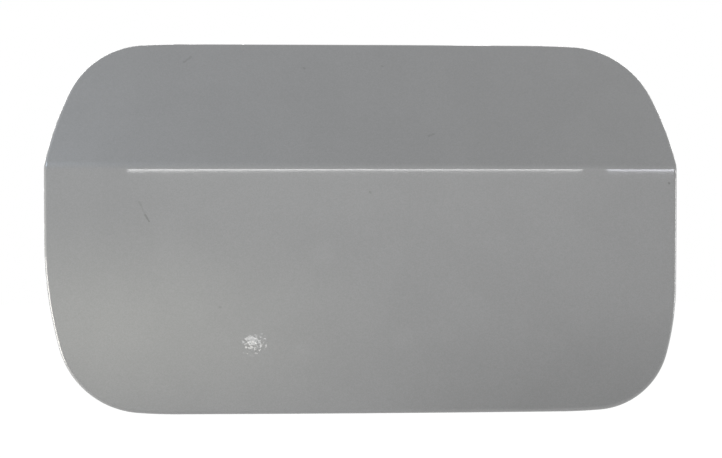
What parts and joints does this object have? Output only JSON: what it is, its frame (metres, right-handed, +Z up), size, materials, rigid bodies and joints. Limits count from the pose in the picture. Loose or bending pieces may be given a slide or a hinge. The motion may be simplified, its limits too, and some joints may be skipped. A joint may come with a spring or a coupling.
{
  "type": "car fuel door",
  "caption": "Silver painted hemmed steel fuel door, creased with a leaning upper face, with tuck-in hinge, over-centre spring, lock eye, rubber stops and filler cap holder.",
  "frame": {"origin": "middle of the two hinge bolt holes, on the bracket face that meets the car body", "axes": "+X to the right and +Z up as seen from outside the car, +Y into the car; the painted outside faces -Y"},
  "size_m": [0.2, 0.048, 0.121],
  "materials": {
    "body_paint": "metallic silver-grey paint under a glossy clear coat with fine orange peel",
    "zinc_plate": "satin zinc plate",
    "pin_steel": "ground steel",
    "spring_steel": "dark oiled spring steel",
    "rivet_aluminium": "plain aluminium",
    "natural_nylon": "natural nylon",
    "black_plastic": "black moulded plastic, fine grain",
    "black_rubber": "soft black rubber"
  },
  "bodies": {
    "bracket": {"hinge_bracket": "zinc_plate", "hinge_pin": "pin_steel", "pin_washer": "zinc_plate", "pin_clip": "spring_steel"},
    "door": {"outer_panel": "body_paint", "inner_panel": "body_paint", "hinge_leaf": "zinc_plate", "clinch_nuts": "zinc_plate", "hinge_screws": "zinc_plate", "upper_bush": "natural_nylon", "lower_bush": "natural_nylon", "lock_catch": "black_plastic", "catch_rivets": "rivet_aluminium", "upper_buffer": "black_rubber", "lower_buffer": "black_rubber", "cap_holder": "black_plastic", "holder_screws": "zinc_plate"},
    "spring": {"over_centre_spring": "spring_steel"}
  },
  "joints": [
    {"name": "door_hinge", "type": "hinge", "parent": "bracket", "child": "door", "pos_m": [0.019, -0.028, 0], "axis": [0, 0, 1], "range_deg": [0, 95], "deforming": ["over_centre_spring"]},
    {"name": "spring_swing", "type": "hinge", "parent": "bracket", "child": "spring", "pos_m": [0.019, -0.008, 0], "axis": [0, 0, 1], "range_deg": [-51, 0]}
  ],
  "couplings": [
    {"joint": "spring_swing", "follows": "door_hinge", "ratio": -0.5366}
  ]
}
